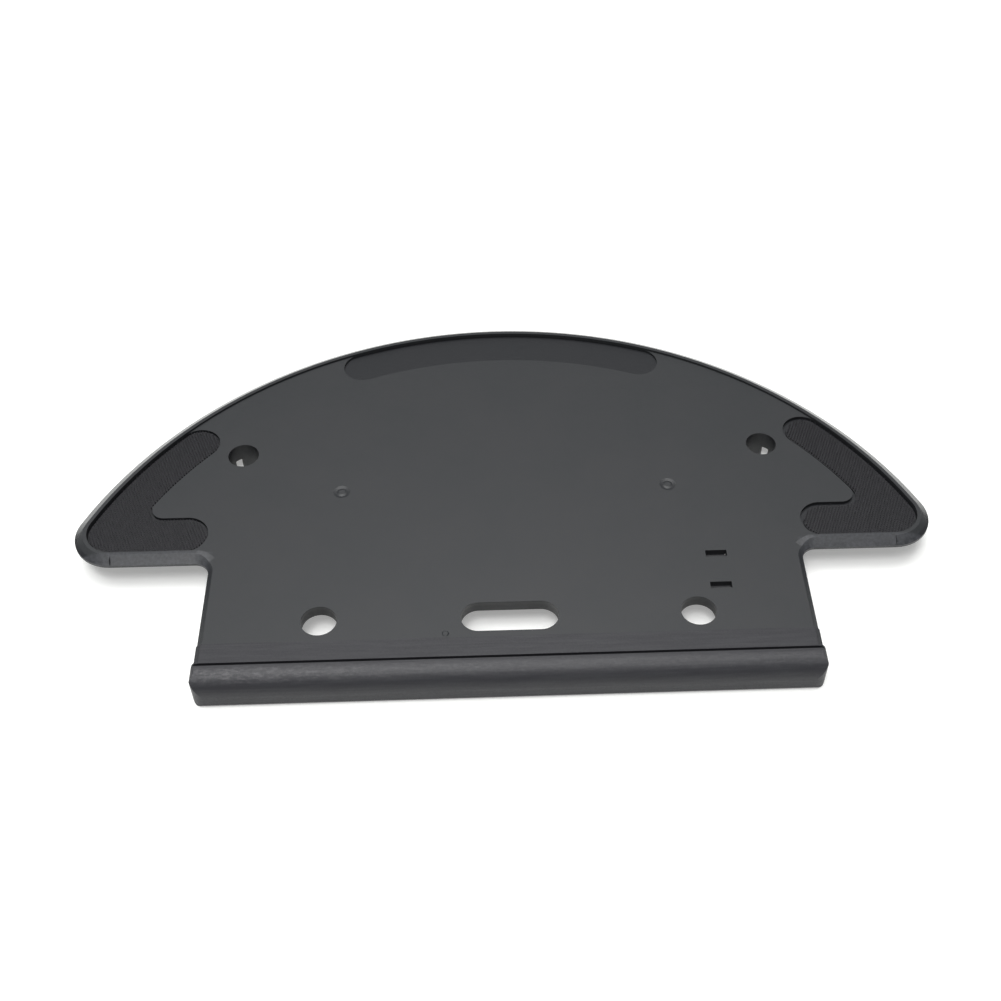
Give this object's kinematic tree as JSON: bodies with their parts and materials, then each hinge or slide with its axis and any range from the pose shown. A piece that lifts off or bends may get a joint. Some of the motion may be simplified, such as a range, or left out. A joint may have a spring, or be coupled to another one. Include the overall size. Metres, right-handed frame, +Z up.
{
  "type": "robot vacuum mop bracket",
  "caption": "Half-round moulded mop plate for a robot vacuum, cloth side up, with hook tape pads, a soft nose strip, locating holes, a slot and hollow snap posts.",
  "frame": {"origin": "middle of the bracket's overall box, on the plane that the post ends and the nose strip rest on", "axes": "+X across the bracket to its right wing, +Y from the nose strip to the curved edge, +Z up out of the cloth face"},
  "size_m": [0.3014, 0.172, 0.0134],
  "materials": {
    "plate_plastic": "fine matte moulding texture, dark grey",
    "nose_rubber": "satin, scuffed along the edges",
    "hook_tape": "woven hook tape, ribbed",
    "ferrite": "dull black sintered ferrite"
  },
  "bodies": {
    "root": {"mop_plate": "plate_plastic", "nose_strip": "nose_rubber", "left_hook_pad": "hook_tape", "right_hook_pad": "hook_tape", "detection_magnet": "ferrite"}
  },
  "joints": []
}
